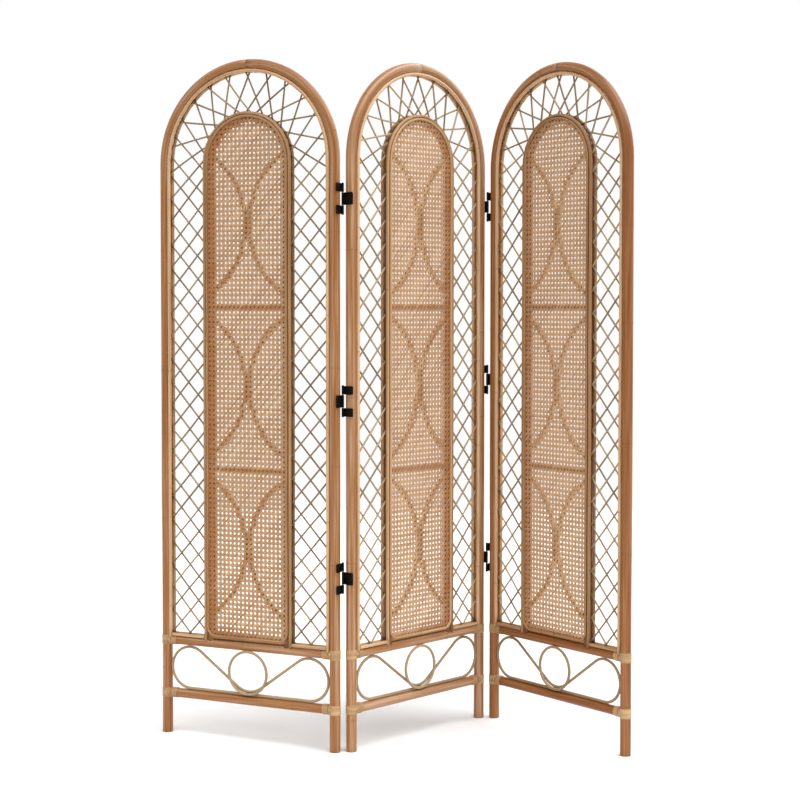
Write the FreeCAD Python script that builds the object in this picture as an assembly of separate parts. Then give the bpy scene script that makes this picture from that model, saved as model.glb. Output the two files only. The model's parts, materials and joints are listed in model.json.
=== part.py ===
import FreeCAD, Part
import math
import os

# A rattan folding screen: three arched panels, hinged to fold both ways and stood in a zigzag.
# Millimetres. X runs along the screen, Y to the rear, Z up, and the floor is at Z = 0.
# Each panel is modelled upright in its own frame, with X = 0 and Y = 0 at its middle.

# Outer frame
panel_height = 1800.0
panel_width = 507.0
pole_diameter = 28.0
foot_chamfer = 1.5
upper_rail_height = 253.5
lower_rail_height = 109.5
rail_diameter = 25.0

# Flat cane that binds the joints of rails and poles: a strap round the pole, then turns round the rail
pole_binding_thickness = 1.0
rail_binding_thickness = 1.5
binding_on_pole = 25.0
strap_past_pole = 1.0
winding_turns = 3
winding_strip_width = 4.6
winding_gap = 0.55
winding_samples_per_turn = 48

# Lattice and the canes that line its edges
lining_diameter = 9.0
lining_foot_rise = 7.0
strand_width = 4.8
strand_sides = 6
lattice_first_node = 51.0
lattice_step = 61.4
fan_steps = 12
straight_run_on = 0.5
fan_outer_run_on = 0.1
fan_inner_run_on = 0.39
run_on_blend = 3.0
strand_end_room = 2.0
shortest_strand = 16.0
nodes_past_foot = 2

# Arched inner frame with its cane webbing
frame_width = 230.0
frame_pole_diameter = 22.0
webbing_thickness = 1.6
webbing_lap = 6.5
webbing_corner_radius = 20.0
webbing_foot_rise = 3.0
webbing_openings_across = 6
webbing_strip_width = 17.0
bead_width = 7.0
bead_height = 3.5
bead_offset = 4.0
low_bar_height = 722.0
high_bar_height = 1150.0
bar_diameter = 14.0
brace_diameter = 12.0
brace_set_back = 1.0
brace_above_sill = 55.0
brace_below_bar = 23.0
brace_above_bar = 35.0
brace_above_spring = 22.5

# Scroll between the rails
scroll_rod_diameter = 7.5
scroll_forward = 2.0
scroll_dip_radius = 60.0
scroll_ring_rise = 4.6

# Hinges
left_hinge_heights = (452.0, 910.0, 1430.0)
right_hinge_heights = (452.0, 950.0, 1430.0)
outer_tab_height = 22.0
centre_tab_height = 32.0
tab_gap = 1.5
leaf_thickness = 2.0
leaf_seat_depth = 1.0
leaf_reach = 19.5
leaf_corner_radius = 3.0
knuckle_diameter = 6.4
pin_diameter = 3.2
pin_head_diameter = 5.2
pin_head_height = 1.5
screw_diameter = 3.2
screw_head_diameter = 6.0
screw_length = 18.0
screw_spacing = 14.0

# Fits
seat_gap = 0.05
running_clearance = 0.05
screw_clearance = 0.02
in_line_gap = 0.3
folded_gap = 0.5

# How far each panel is turned about the upright, seen from above
left_turn = -25.5
middle_turn = 45.6
right_turn = -52.8

pole_radius = pole_diameter / 2
rail_radius = rail_diameter / 2
lining_radius = lining_diameter / 2
strand_radius = strand_width / 2
frame_radius = frame_pole_diameter / 2
bar_radius = bar_diameter / 2
brace_radius = brace_diameter / 2
rod_radius = scroll_rod_diameter / 2
half_width = panel_width / 2
frame_half = frame_width / 2
spring_height = panel_height - pole_radius - half_width

# The two strand layers cross at the panel's middle, gripped by a lining before and behind
strand_depth = strand_radius + seat_gap
lining_depth = 2 * strand_radius + 2 * seat_gap + seat_gap + lining_radius
pole_to_lining = pole_radius + lining_radius + seat_gap
frame_to_lining = frame_radius + lining_radius + seat_gap
outer_lining_half = half_width - math.sqrt(pole_to_lining ** 2 - lining_depth ** 2)
inner_lining_half = frame_half + math.sqrt(frame_to_lining ** 2 - lining_depth ** 2)
pole_wrap_radius = pole_radius + pole_binding_thickness
rail_wrap_radius = rail_radius + rail_binding_thickness
strap_end = pole_wrap_radius + strap_past_pole
winding_start = strap_end + winding_gap
winding_pitch = winding_strip_width + winding_gap
winding_end = winding_start + winding_turns * winding_pitch + winding_strip_width
sill_height = upper_rail_height + rail_radius + seat_gap + frame_radius
pin_along = pole_wrap_radius + in_line_gap
pin_across = pole_wrap_radius + folded_gap

up = FreeCAD.Vector(0, 0, 1)
along = FreeCAD.Vector(1, 0, 0)
rear = FreeCAD.Vector(0, 1, 0)
middle = FreeCAD.Vector(0, 0, 0)


def point(x, z, depth=0.0):
    return FreeCAD.Vector(x, depth, z)


def line(start, end):
    return Part.LineSegment(start, end).toShape()


def arc(centre, radius, first_angle, last_angle, depth=0.0):
    # An arc in the panel's plane, its angles in degrees from +X towards +Z
    angles = (first_angle, (first_angle + last_angle) / 2, last_angle)
    places = []
    for angle in angles:
        turn = math.radians(angle)
        places.append(point(centre[0] + radius * math.cos(turn), centre[1] + radius * math.sin(turn), depth))
    return Part.Arc(places[0], places[1], places[2]).toShape()


def rod(edges, radius):
    # A round rod along a path of straight runs and arcs that join tangentially
    first = edges[0]
    start = first.valueAt(first.FirstParameter)
    section = Part.Wire([Part.makeCircle(radius, start, first.tangentAt(first.FirstParameter))])
    return Part.Wire(edges).makePipeShell([section], True, False)


def cylinder(radius, start, end):
    return Part.makeCylinder(radius, (end - start).Length, start, end - start)


def mirrored(shape):
    return shape.mirror(middle, along)


def arch_path(half, foot_height, depth):
    # Up one side, over the half circle and down the other
    centre = (0.0, spring_height)
    return [
        line(point(-half, foot_height, depth), point(-half, spring_height, depth)),
        arc(centre, half, 180.0, 90.0, depth),
        arc(centre, half, 90.0, 0.0, depth),
        line(point(half, spring_height, depth), point(half, foot_height, depth)),
    ]


def left_pole():
    # Post and half arch in one bent pole, which meets its twin at the crown
    pole = rod(arch_path(half_width, 0.0, 0.0)[:2], pole_radius)
    foot = [edge for edge in pole.Edges if edge.BoundBox.ZMax < foot_chamfer]
    return pole.makeChamfer(foot_chamfer, foot)


def posts(radius, low, high):
    sides = (-half_width, half_width)
    return [cylinder(radius, point(x, low), point(x, high)) for x in sides]


def rail(height):
    # A straight pole coped to the round of both posts
    bar = cylinder(rail_radius, point(-half_width, height), point(half_width, height))
    return bar.cut(posts(pole_radius, height - pole_diameter, height + pole_diameter))


def strap(height):
    # At the left end of a rail: cane round the post and over onto the rail, in one piece
    low = height - binding_on_pole / 2
    high = height + binding_on_pole / 2
    post_wrap = cylinder(pole_wrap_radius, point(-half_width, low), point(-half_width, high))
    rail_wrap = cylinder(rail_wrap_radius, point(-half_width, height), point(strap_end - half_width, height))
    rail_core = cylinder(rail_radius, point(-half_width, height), point(half_width, height))
    post_core = posts(pole_radius, height - pole_diameter, height + pole_diameter)
    return post_wrap.fuse(rail_wrap).cut([rail_core] + post_core)


def winding(height):
    # One unbroken flat strip round the rail beside the strap, rising before it and falling behind.
    # Each half turn lies between two slanting planes, and is level where it meets the next.
    ends = point(winding_start - half_width, height), point(winding_end - half_width, height)
    sleeve = cylinder(rail_wrap_radius, ends[0], ends[1]).cut(cylinder(rail_radius, ends[0], ends[1]))
    slope = winding_pitch / 2 / (rail_radius + rail_wrap_radius)
    lean = slope * pole_diameter
    halves = []
    for count in range(2 * winding_turns):
        side = 1 if count % 2 else -1
        start = winding_start - half_width + (2 * count + 1) * winding_pitch / 4
        foot = point(start + side * lean, height - pole_diameter)
        head = point(start - side * lean, height + pole_diameter)
        across = along * winding_strip_width
        outline = Part.makePolygon([foot, foot + across, head + across, head, foot])
        slab = Part.Face(outline).extrude(rear * (side * pole_diameter))
        halves.append(sleeve.common(slab))
    return halves[0].fuse(halves[1:])


def winding_place(turn, offset):
    # A point of the strip's outer face, by turns from its start and by the offset across its width
    whole = math.floor(2 * turn)
    share = (1 - math.cos(math.pi * (2 * turn - whole))) / 2
    angle = 2 * math.pi * turn
    return (winding_start + winding_pitch * (whole + share) / 2 + offset,
            -rail_wrap_radius * math.sin(angle), -rail_wrap_radius * math.cos(angle))


def least_winding_gap():
    # The least distance from the strip's far edge to the near edge of a later turn
    samples = winding_turns * winding_samples_per_turn
    turns = [count / winding_samples_per_turn for count in range(samples + 1)]
    gaps = []
    for early in turns:
        far_edge = winding_place(early, winding_strip_width)
        gaps += [math.dist(far_edge, winding_place(late, 0.0)) for late in turns if late - early > 0.5]
    return min(gaps)


def bindings():
    joints = []
    for height in (upper_rail_height, lower_rail_height):
        joints += [strap(height), winding(height)]
    return joints + [mirrored(piece) for piece in joints]


def upper_rail_seat():
    # The upper rail with the room that a cane needs to sit on it
    ends = point(-half_width, upper_rail_height), point(half_width, upper_rail_height)
    return cylinder(rail_radius + seat_gap, ends[0], ends[1])


def joint_envelope():
    # The space that the upper rail and its bindings fill, which the lining canes are coped to
    low = upper_rail_height - binding_on_pole / 2
    high = upper_rail_height + binding_on_pole / 2 + seat_gap
    inner_end = half_width - winding_end
    pieces = posts(pole_wrap_radius + seat_gap, low, high)
    for side in (-1, 1):
        start = point(side * half_width, upper_rail_height)
        end = point(side * (inner_end - seat_gap), upper_rail_height)
        pieces.append(cylinder(rail_wrap_radius + seat_gap, start, end))
    return pieces + [upper_rail_seat()]


def outer_linings():
    # An arched cane before and one behind the strands, and short canes along the rail in each bay
    pieces = []
    envelope = joint_envelope()
    gap = rail_wrap_radius + lining_radius + seat_gap
    base_height = upper_rail_height + math.sqrt(gap ** 2 - lining_depth ** 2)
    outer_end = outer_lining_half - lining_radius - seat_gap
    inner_end = inner_lining_half + lining_radius + seat_gap
    for depth in (-lining_depth, lining_depth):
        arch = rod(arch_path(outer_lining_half, upper_rail_height + lining_foot_rise, depth), lining_radius)
        pieces.append(arch.cut(envelope))
        for side in (-1, 1):
            start = point(side * outer_end, base_height, depth)
            end = point(side * inner_end, base_height, depth)
            pieces.append(cylinder(lining_radius, start, end))
    return pieces


def inner_linings():
    # The same pair of arched canes round the inner frame, standing on the rail
    foot_height = upper_rail_height + lining_foot_rise
    pieces = []
    for depth in (-lining_depth, lining_depth):
        arch = rod(arch_path(inner_lining_half, foot_height, depth), lining_radius)
        pieces.append(arch.cut(upper_rail_seat()))
    return pieces


lattice_floor = upper_rail_height + rail_wrap_radius + strand_end_room
first_node_height = upper_rail_height + lattice_first_node
straight_steps = round((spring_height - first_node_height) / lattice_step)
straight_pitch = (spring_height - first_node_height) / straight_steps
lattice_steps = 2 * straight_steps + fan_steps


def edge_point(step, half):
    # A place on an arched edge, in lattice steps up the left, over the fan and down the right
    side = -1
    if step > lattice_steps / 2:
        side = 1
        step = lattice_steps - step
    if step <= straight_steps:
        return side * half, first_node_height + step * straight_pitch
    turn = math.pi * (step - straight_steps) / fan_steps
    return side * half * math.cos(turn), spring_height + half * math.sin(turn)


def run_on(node, fan_value):
    # How far past a crossing a strand runs on to the edge: it shortens where the lattice fans out
    from_foot = min(node, lattice_steps - node)
    share = (from_foot - straight_steps + 1) / run_on_blend
    share = min(max(share, 0.0), 1.0)
    return straight_run_on + (fan_value - straight_run_on) * share


def strand(start, end, depth):
    # A straight many-sided prism with two of its flats facing before and behind
    run = FreeCAD.Vector(end[0] - start[0], 0, end[1] - start[1])
    side = FreeCAD.Vector(-run.z, 0, run.x).normalize()
    corner = strand_radius / math.cos(math.pi / strand_sides)
    corners = []
    for count in range(strand_sides + 1):
        turn = 2 * math.pi * count / strand_sides
        offset = side * (corner * math.cos(turn)) + rear * (corner * math.sin(turn))
        corners.append(point(start[0], start[1], depth) + offset)
    return Part.Face(Part.makePolygon(corners)).extrude(run)


def above_floor(low, high):
    # Shortens a strand where it comes down to the rail, and gives None where little is left
    if high[1] < low[1]:
        low, high = high, low
    if low[1] < lattice_floor:
        if high[1] <= lattice_floor:
            return None
        share = (lattice_floor - low[1]) / (high[1] - low[1])
        low = (low[0] + share * (high[0] - low[0]), lattice_floor)
    if math.dist(low, high) < shortest_strand:
        return None
    return low, high


def rising_strands():
    # The strands that lean to the right, in front of the mirrored layer
    outer_half = half_width - pole_radius - strand_end_room
    inner_half = frame_half + frame_radius + strand_end_room
    pieces = []
    for node in range(-nodes_past_foot, lattice_steps + nodes_past_foot):
        outer = edge_point(node - run_on(node, fan_outer_run_on), outer_half)
        inner = edge_point(node + 1 + run_on(node + 1, fan_inner_run_on), inner_half)
        ends = above_floor(outer, inner)
        if ends:
            pieces.append(strand(ends[0], ends[1], -strand_depth))
    return pieces


def falling_strands(rising):
    # The mirrored layer, moved behind the first
    return [mirrored(piece).translated(rear * (2 * strand_depth)) for piece in rising]


def left_frame_pole():
    # Limb and half arch of the inner frame, coped to the rail it stands on
    pole = rod(arch_path(frame_half, upper_rail_height, 0.0)[:2], frame_radius)
    return pole.cut(upper_rail_seat())


def webbing_outline(offset, depth):
    # Half of the webbing's edge, from the middle of its foot to its crown, moved out by offset
    half = frame_half + offset
    foot = sill_height + webbing_foot_rise - offset
    corner = webbing_corner_radius + offset
    return [
        line(point(0.0, foot, depth), point(corner - half, foot, depth)),
        arc((corner - half, foot + corner), corner, 270.0, 180.0, depth),
        line(point(-half, foot + corner, depth), point(-half, spring_height, depth)),
        arc((0.0, spring_height), half, 180.0, 90.0, depth),
    ]


def webbing_openings(depth):
    # Square openings in even rows inside the frame, from the sill up into the arch, for the open weave
    reach = frame_half - frame_radius
    pitch = 2 * reach / webbing_openings_across
    half = (pitch - webbing_strip_width) / 2
    floor = sill_height + frame_radius
    rows = math.floor((spring_height + reach - floor) / pitch)
    squares = []
    for row in range(rows):
        height = floor + (row + 0.5) * pitch
        for column in range(webbing_openings_across):
            x = (column + 0.5) * pitch - reach
            if math.hypot(abs(x) + half, max(height + half - spring_height, 0.0)) > reach:
                continue
            corners = [point(x + across * half, height + rise * half, depth)
                       for across, rise in ((-1, -1), (1, -1), (1, 1), (-1, 1), (-1, -1))]
            squares.append(Part.makePolygon(corners))
    return squares


def cane_webbing():
    # A thin sheet with rows of openings, laid on the front of the inner frame
    depth = -frame_radius - seat_gap
    edges = webbing_outline(webbing_lap, depth)
    outline = Part.Wire(edges)
    other = mirrored(outline)
    closed = Part.Wire(Part.__sortEdges__(outline.Edges + other.Edges))
    return Part.Face([closed] + webbing_openings(depth)).extrude(rear * -webbing_thickness)


def webbing_bead():
    # A half-round cane that holds the webbing's edge down along the outer side of the frame
    base = -frame_radius - 2 * seat_gap - webbing_thickness
    edges = webbing_outline(bead_offset, base)
    foot = sill_height + webbing_foot_rise - bead_offset
    low = point(0.0, foot - bead_width / 2, base)
    high = point(0.0, foot + bead_width / 2, base)
    crest = point(0.0, foot, base - bead_height)
    section = Part.Wire([line(high, low), Part.Arc(low, crest, high).toShape()])
    half = Part.Wire(edges).makePipeShell([section], True, False)
    return half.fuse(mirrored(half)).removeSplitter()


def cross_bars():
    # Two bars and a sill, coped to the limbs, all touching the webbing's back
    limbs = []
    for side in (-frame_half, frame_half):
        limbs.append(cylinder(frame_radius, point(side, upper_rail_height), point(side, spring_height)))
    bars = []
    for height, radius in ((sill_height, frame_radius), (low_bar_height, bar_radius),
                           (high_bar_height, bar_radius)):
        depth = radius - frame_radius
        bar = cylinder(radius, point(-frame_half, height, depth), point(frame_half, height, depth))
        bars.append(bar.cut(limbs))
    return bars


def curved_braces(frame_poles):
    # In each bay two bowed rods stand back to back close behind the webbing, touching at the panel's middle
    bays = (
        (sill_height + brace_above_sill, low_bar_height - brace_below_bar),
        (low_bar_height + brace_above_bar, high_bar_height - brace_below_bar),
        (high_bar_height + brace_above_bar, spring_height + brace_above_spring),
    )
    bow = frame_half - brace_radius - seat_gap
    depth = brace_radius + brace_set_back - frame_radius
    braces = []
    for low, high in bays:
        half_chord = (high - low) / 2
        radius = (half_chord ** 2 + bow ** 2) / (2 * bow)
        spread = math.degrees(math.asin(half_chord / radius))
        centre = (-brace_radius - seat_gap - radius, (low + high) / 2)
        bowed = rod([arc(centre, radius, -spread, spread, depth)], brace_radius)
        left = largest(bowed.cut(frame_poles))
        braces += [left, mirrored(left)]
    return braces


def largest(shape):
    return max(shape.Solids, key=lambda solid: solid.Volume)


def scroll_rest():
    # How far the scroll's rod stands off a rail or post that it touches, given its place before them
    on_rail = math.sqrt((rail_radius + rod_radius + seat_gap) ** 2 - scroll_forward ** 2)
    on_post = math.sqrt((pole_radius + rod_radius + seat_gap) ** 2 - scroll_forward ** 2)
    return on_rail, on_post


def scroll_rod():
    # One bent rod: along the lower rail, round by each post, over to the upper rail and down to a dip
    on_rail, on_post = scroll_rest()
    depth = -scroll_forward
    run_height = lower_rail_height + on_rail
    top_height = upper_rail_height - on_rail
    radius = (top_height - run_height) / 2
    end = (on_post + radius - half_width, run_height + radius)
    dip_height = run_height + scroll_rod_diameter + seat_gap
    dip = (0.0, dip_height + scroll_dip_radius)
    reach = math.dist(end, dip)
    tilt = math.degrees(math.atan2(dip[1] - end[1], dip[0] - end[0]))
    slope = math.degrees(math.asin((radius + scroll_dip_radius) / reach)) - tilt
    over = arc(end, radius, 270.0, 180.0, depth), arc(end, radius, 180.0, 90.0 - slope, depth)
    under = arc(dip, scroll_dip_radius, 270.0 - slope, 270.0, depth)
    slant = line(over[1].valueAt(over[1].LastParameter), under.valueAt(under.FirstParameter))
    half = rod([line(point(0.0, run_height, depth), point(end[0], run_height, depth)), over[0], over[1],
                slant, under], rod_radius)
    return half.fuse(mirrored(half)).removeSplitter()


def scroll_ring():
    # A ring that lies on the front of the dip and reaches up to the upper rail
    depth = scroll_forward + scroll_rod_diameter + seat_gap
    stand_off = math.sqrt((rail_radius + rod_radius + seat_gap) ** 2 - depth ** 2)
    high = upper_rail_height - stand_off
    low = lower_rail_height + stand_off + scroll_ring_rise
    return Part.makeTorus((high - low) / 2, rod_radius, point(0.0, (high + low) / 2, -depth), rear)


def tab_bands(kind):
    # The height bands of a hinge's tabs, from its centre: the middle tab or the two outer ones
    if kind == "centre":
        return [(-centre_tab_height / 2, centre_tab_height / 2)]
    start = centre_tab_height / 2 + tab_gap
    end = start + outer_tab_height
    return [(-end, -start), (start, end)]


def screw_levels(low, high):
    if high - low < 2 * screw_spacing:
        return [(low + high) / 2]
    return [(low + high - screw_spacing) / 2, (low + high + screw_spacing) / 2]


# A hinge on the right post of a panel, with the panel's mid-plane at Y = 0 and the post's axis at X = 0.
# The pin stands behind; the leaf lies on a flat that is shaved on the post's outer side.
seat_face = pole_radius - leaf_seat_depth
leaf_face = seat_face + leaf_thickness


def hinge_tab(low, high):
    # A flat plate with rounded free corners, rolled into a knuckle round the pin
    plate = Part.makeBox(leaf_thickness, leaf_reach + pin_across, high - low,
                         FreeCAD.Vector(seat_face, -leaf_reach, low))
    free_edges = [edge for edge in plate.Edges if edge.BoundBox.YMax < leaf_corner_radius - leaf_reach]
    corners = [edge for edge in free_edges if edge.BoundBox.ZLength < leaf_thickness]
    plate = plate.makeFillet(leaf_corner_radius, corners)
    axis = FreeCAD.Vector(pin_along, pin_across, low)
    knuckle = Part.makeCylinder(knuckle_diameter / 2, high - low, axis)
    bore = Part.makeCylinder(pin_diameter / 2 + running_clearance, high - low, axis)
    holes = [screw(level, screw_clearance) for level in screw_levels(low, high)]
    return plate.fuse(knuckle).cut([bore] + holes).removeSplitter()


def screw(level, room=0.0):
    # A countersunk screw through the leaf into the post, its head flush with the leaf
    tip = FreeCAD.Vector(leaf_face - screw_length - room, 0, level)
    shank = Part.makeCylinder(screw_diameter / 2 + room, screw_length + room, tip, along)
    head = Part.makeCone(screw_diameter / 2 + room, screw_head_diameter / 2 + room, leaf_thickness,
                         FreeCAD.Vector(seat_face, 0, level), along)
    return shank.fuse(head)


def pole_seat(low, high):
    # What a leaf and its screws take out of the post
    corner = FreeCAD.Vector(seat_face, -pole_radius, low)
    flat = Part.makeBox(pole_radius, pole_diameter, high - low, corner)
    bores = [screw(level, screw_clearance) for level in screw_levels(low, high)]
    return [flat] + bores


def hinge_pin(height):
    # A pin through all three knuckles, with a head at each end
    reach = centre_tab_height / 2 + tab_gap + outer_tab_height + seat_gap
    foot = FreeCAD.Vector(pin_along, pin_across, height - reach)
    top = foot + up * (2 * reach)
    heads = [cylinder(pin_head_diameter / 2, foot - up * pin_head_height, foot),
             cylinder(pin_head_diameter / 2, top, top + up * pin_head_height)]
    return cylinder(pin_diameter / 2, foot, top).fuse(heads).removeSplitter()


def side_pieces(heights, kinds):
    # Tabs, screws and post cuts of one hinge line, about a right-hand post with the pin behind
    tabs = []
    screws = []
    cuts = []
    for height, kind in zip(heights, kinds):
        for low, high in tab_bands(kind):
            tabs.append(hinge_tab(height + low, height + high))
            screws += [screw(level) for level in screw_levels(height + low, height + high)]
            cuts += pole_seat(height + low, height + high)
    return tabs, screws, cuts


def at_post(shapes, side, pin_side):
    # Moves pieces from that reference post to a panel's own post; pin_side is 1 behind, -1 before
    moved = []
    for shape in shapes:
        if pin_side < 0:
            shape = shape.mirror(middle, rear)
        if side < 0:
            shape = shape.mirror(middle, along)
        moved.append(shape.translated(along * (side * half_width)))
    return moved


# Each entry of a hinge line says which tabs sit on that post, from the lowest hinge up
outer_first = ("outer", "centre", "outer")
centre_first = ("centre", "outer", "centre")
hinge_sides = {
    ("left", 1): (left_hinge_heights, outer_first, 1),
    ("middle", -1): (left_hinge_heights, centre_first, 1),
    ("middle", 1): (right_hinge_heights, centre_first, -1),
    ("right", -1): (right_hinge_heights, outer_first, -1),
}
leaf_nodes = {
    ("left", 1): "left_panel_hinge_leaves",
    ("middle", -1): "middle_panel_left_hinge_leaves",
    ("middle", 1): "middle_panel_right_hinge_leaves",
    ("right", -1): "right_panel_hinge_leaves",
}


def turned(x, y, degrees):
    return FreeCAD.Rotation(up, degrees).multVec(FreeCAD.Vector(x, y, 0))


def panel_placements():
    # The middle panel turns about its own middle, and the others hang on its hinge pins
    reach = half_width + pin_along
    left_pin = turned(-reach, pin_across, middle_turn)
    right_pin = turned(reach, -pin_across, middle_turn)
    bases = {
        "left": (left_pin - turned(reach, pin_across, left_turn), left_turn),
        "middle": (middle, middle_turn),
        "right": (right_pin - turned(-reach, -pin_across, right_turn), right_turn),
    }
    placements = {}
    for panel, (base, turn) in bases.items():
        placements[panel] = FreeCAD.Placement(base, FreeCAD.Rotation(up, turn))
    return placements, left_pin, right_pin


def panel_pieces():
    # The pieces that all three panels share, apart from the hinge seats in their poles
    pole = left_pole()
    frame_pole = left_frame_pole()
    frame_poles = [frame_pole, mirrored(frame_pole)]
    rising = rising_strands()
    return {
        "left_pole": [pole],
        "right_pole": [mirrored(pole)],
        "upper_rail": [rail(upper_rail_height)],
        "lower_rail": [rail(lower_rail_height)],
        "bindings": bindings(),
        "outer_linings": outer_linings(),
        "inner_linings": inner_linings(),
        "lattice_rising": rising,
        "lattice_falling": falling_strands(rising),
        "left_frame_pole": [frame_poles[0]],
        "right_frame_pole": [frame_poles[1]],
        "cross_bars": cross_bars(),
        "curved_braces": curved_braces(frame_poles),
        "cane_webbing": [cane_webbing()],
        "webbing_bead": [webbing_bead()],
        "scroll_rod": [scroll_rod()],
        "scroll_ring": [scroll_ring()],
    }


def all_nodes():
    placements, left_pin, right_pin = panel_placements()
    shared = panel_pieces()
    nodes = {}
    for panel, placement in placements.items():
        pieces = dict(shared)
        panel_screws = []
        for side, pole_name in ((-1, "left_pole"), (1, "right_pole")):
            if (panel, side) not in hinge_sides:
                continue
            heights, kinds, pin_side = hinge_sides[(panel, side)]
            tabs, screws, cuts = (at_post(group, side, pin_side) for group in side_pieces(heights, kinds))
            pieces[pole_name] = [shared[pole_name][0].cut(cuts)]
            nodes[leaf_nodes[(panel, side)]] = (tabs, placement)
            panel_screws += screws
        for name, solids in pieces.items():
            nodes[panel + "_panel_" + name] = (solids, placement)
        nodes[panel + "_panel_hinge_screws"] = (panel_screws, placement)
    for line_name, heights, side, pin_side in (("left", left_hinge_heights, -1, 1),
                                               ("right", right_hinge_heights, 1, -1)):
        pins = at_post([hinge_pin(height) for height in heights], side, pin_side)
        nodes[line_name + "_hinge_pins"] = (pins, placements["middle"])
    return nodes, left_pin, right_pin


def placed(solids, placement):
    group = Part.makeCompound([solid.copy() for solid in solids])
    group.Placement = placement.multiply(group.Placement)
    return group


def main():
    nodes, left_pin, right_pin = all_nodes()
    shapes = {name: placed(solids, placement) for name, (solids, placement) in nodes.items()}
    extent = Part.makeCompound(list(shapes.values())).optimalBoundingBox(False, False)
    shift = FreeCAD.Vector(-extent.Center.x, -extent.Center.y, -extent.ZMin)
    os.makedirs("parts", exist_ok=True)
    for name, shape in shapes.items():
        shape.translate(shift)
        shape.exportStep("parts/" + name + ".step")
    size = (extent.XLength, extent.YLength, extent.ZLength)
    print("size", [round(length, 2) for length in size], "nodes", len(shapes))
    print("least gap of a winding to itself", round(least_winding_gap(), 3))
    print("left pin", left_pin + shift, "right pin", right_pin + shift)


main()
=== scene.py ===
import json
import math

import bpy
import numpy as np
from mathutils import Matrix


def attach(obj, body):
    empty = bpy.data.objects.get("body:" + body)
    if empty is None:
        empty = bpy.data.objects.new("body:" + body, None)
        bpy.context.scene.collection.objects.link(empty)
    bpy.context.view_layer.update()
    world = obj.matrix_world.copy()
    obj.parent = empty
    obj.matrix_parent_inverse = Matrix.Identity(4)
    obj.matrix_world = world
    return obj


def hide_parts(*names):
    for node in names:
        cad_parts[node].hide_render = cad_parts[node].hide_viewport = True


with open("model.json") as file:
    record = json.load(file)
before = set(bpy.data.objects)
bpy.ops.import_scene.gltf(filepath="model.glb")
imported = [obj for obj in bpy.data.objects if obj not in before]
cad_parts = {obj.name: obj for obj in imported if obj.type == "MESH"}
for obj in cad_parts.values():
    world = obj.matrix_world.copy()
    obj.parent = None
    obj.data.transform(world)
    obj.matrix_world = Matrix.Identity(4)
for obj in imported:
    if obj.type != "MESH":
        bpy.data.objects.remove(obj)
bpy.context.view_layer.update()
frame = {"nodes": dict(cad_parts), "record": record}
scene = bpy.context.scene
scene.view_settings.view_transform = "Standard"
print("frame loaded:", len(frame["nodes"]), "nodes")

# camera: level with a standing eye, a little tilt, fitted to posts and crowns
cameraSetup = {
    "place": (-0.07013, -4.51908, 1.15935),
    "yaw": -0.2706,         # degrees, to the left positive
    "lookDown": 2.1527,     # degrees
    "lens": 76.1994,        # mm on a 36 mm sensor
    "sensor": 36.0,
    "shift": (0.03525, -0.04),
    "farthest": 200.0,      # m
}


def addObject(name, data):
    item = bpy.data.objects.new(name, data)
    scene.collection.objects.link(item)
    return item


def makeCamera(setup):
    data = bpy.data.cameras.new("photoCamera")
    data.lens = setup["lens"]
    data.sensor_width = setup["sensor"]
    data.shift_x, data.shift_y = setup["shift"]
    data.clip_end = setup["farthest"]
    cam = addObject("photoCamera", data)
    cam.location = setup["place"]
    cam.rotation_euler = (math.radians(90.0 - setup["lookDown"]), 0.0, math.radians(setup["yaw"]))
    scene.camera = cam


makeCamera(cameraSetup)

# where each panel stands: the middle between its two feet, and the way from the left foot to the right one
panelFeet = {
    "left": ("left_panel_outer_foot", "left_panel_inner_foot"),
    "middle": ("middle_panel_left_foot", "middle_panel_right_foot"),
    "right": ("right_panel_inner_foot", "right_panel_outer_foot"),
}
mountPlaces = {mount["name"]: np.array(mount["pos_m"]) for mount in frame["record"]["mounts"]}


def panelAxes(panel):
    leftFoot, rightFoot = (mountPlaces[name] for name in panelFeet[panel])
    run = (rightFoot - leftFoot) / np.linalg.norm(rightFoot - leftFoot)
    return (leftFoot + rightFoot) / 2, run, np.array([-run[1], run[0], 0.0])


def standUp(points, panel):
    # panel coordinates (along, to the rear, up) become room coordinates: middle + along*run + rear*back + up
    base, run, back = panelAxes(panel)
    return base + points[:, :1] * run + points[:, 1:2] * back + points[:, 2:] * np.array([0.0, 0.0, 1.0])


# sizes that several pieces share, in metres
screen = {
    "halfWidth": 0.2535, "spring": 1.5325, "poleRadius": 0.014,
    "railRadius": 0.0125, "upperRail": 0.2535, "lowerRail": 0.1095,
    "liningRadius": 0.0045, "liningDepth": 0.00945, "liningFoot": 0.2605,
    "outerLiningHalf": 0.2375375, "innerLiningHalf": 0.1273491,
    "frameHalf": 0.115, "frameRadius": 0.011, "sill": 0.27705, "seat": 0.00005,
}

# what all canes share: growth rings, the swelling at them, slow waves, and where the grain starts
caneShape = {
    "firstRing": (0.15, 1.0), "ringSpread": (0.7, 1.3), "endRoom": 0.02, "ringReach": 0.06,
    "ringBell": 0.0045, "nearRing": (-0.012, -0.006, -0.003, -0.0012, 0.0, 0.0012, 0.003, 0.006, 0.012),
    "waveRate": (5.0, 9.0), "wavePhase": 6.0, "grainStart": 50.0, "acrossStart": 5.0, "tone": 0.5,
}
noRings = np.array([])


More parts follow.
